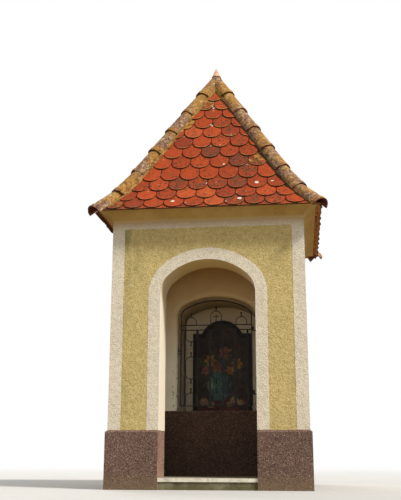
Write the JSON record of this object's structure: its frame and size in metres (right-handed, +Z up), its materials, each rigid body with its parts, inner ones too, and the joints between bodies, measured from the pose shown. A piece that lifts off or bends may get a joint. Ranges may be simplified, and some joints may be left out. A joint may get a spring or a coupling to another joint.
{
  "type": "wayside shrine",
  "caption": "Small square wayside shrine with an arched front opening, a barred niche over an altar block, a coved cornice and a steep bell-cast tiled roof.",
  "frame": {"origin": "middle of the square plan, on the ground", "axes": "+Z up, -Y towards the front opening, +X to the right seen from the front"},
  "size_m": [2.1522, 2.1522, 4.2617],
  "materials": {
    "rendered_wall": "roughcast lime render, yellow with off-white bands",
    "granulate_render": "coloured stone-chip render",
    "inner_plaster": "smooth painted plaster",
    "concrete": "rough cast concrete",
    "marble": "sawn pale marble",
    "roof_tile": "matt fired clay",
    "hip_tile": "matt fired clay under lichen",
    "mortar": "trowelled lime mortar",
    "cone_tile": "matt fired clay",
    "frame_wood": "dark stained moulding",
    "painted_panel": "oil paint on board",
    "black_iron": "black paint on forged iron",
    "lock_body": "dull galvanised steel"
  },
  "bodies": {
    "root": {"front_pier_left": "rendered_wall", "front_pier_right": "rendered_wall", "front_arch": "rendered_wall", "side_wall_left": "rendered_wall", "side_wall_right": "rendered_wall", "back_wall": "rendered_wall", "plinth_pier_left": "granulate_render", "plinth_pier_right": "granulate_render", "plinth_left": "granulate_render", "plinth_right": "granulate_render", "plinth_back": "granulate_render", "altar_block": "granulate_render", "niche_wall": "inner_plaster", "niche_lining": "inner_plaster", "chamber_ceiling": "inner_plaster", "cornice_front": "inner_plaster", "cornice_back": "inner_plaster", "cornice_left": "inner_plaster", "cornice_right": "inner_plaster", "threshold_step": "concrete", "threshold_slab_left": "marble", "threshold_slab_right": "marble", "roof_front": "roof_tile", "roof_back": "roof_tile", "roof_left": "roof_tile", "roof_right": "roof_tile", "hip_tiles_front_left": "hip_tile", "hip_tiles_front_right": "hip_tile", "hip_tiles_back_left": "hip_tile", "hip_tiles_back_right": "hip_tile", "hip_mortar": "mortar", "apex_cone": "cone_tile", "picture_frame": "frame_wood", "picture_panel": "painted_panel", "hinge_pintles": "black_iron", "lock_staple": "black_iron"},
    "gate": {"gate_frame": "black_iron", "gate_bars": "black_iron", "gate_rings": "black_iron", "gate_arches": "black_iron", "gate_crest": "black_iron", "gate_hinge_eyes": "black_iron", "gate_lug": "black_iron", "padlock": "lock_body"}
  },
  "joints": [
    {"name": "gate_hinge", "type": "hinge", "parent": "root", "child": "gate", "pos_m": [0.356, -0.095, 0.853], "axis": [0, 0, 1], "range_deg": [0, 90]}
  ]
}
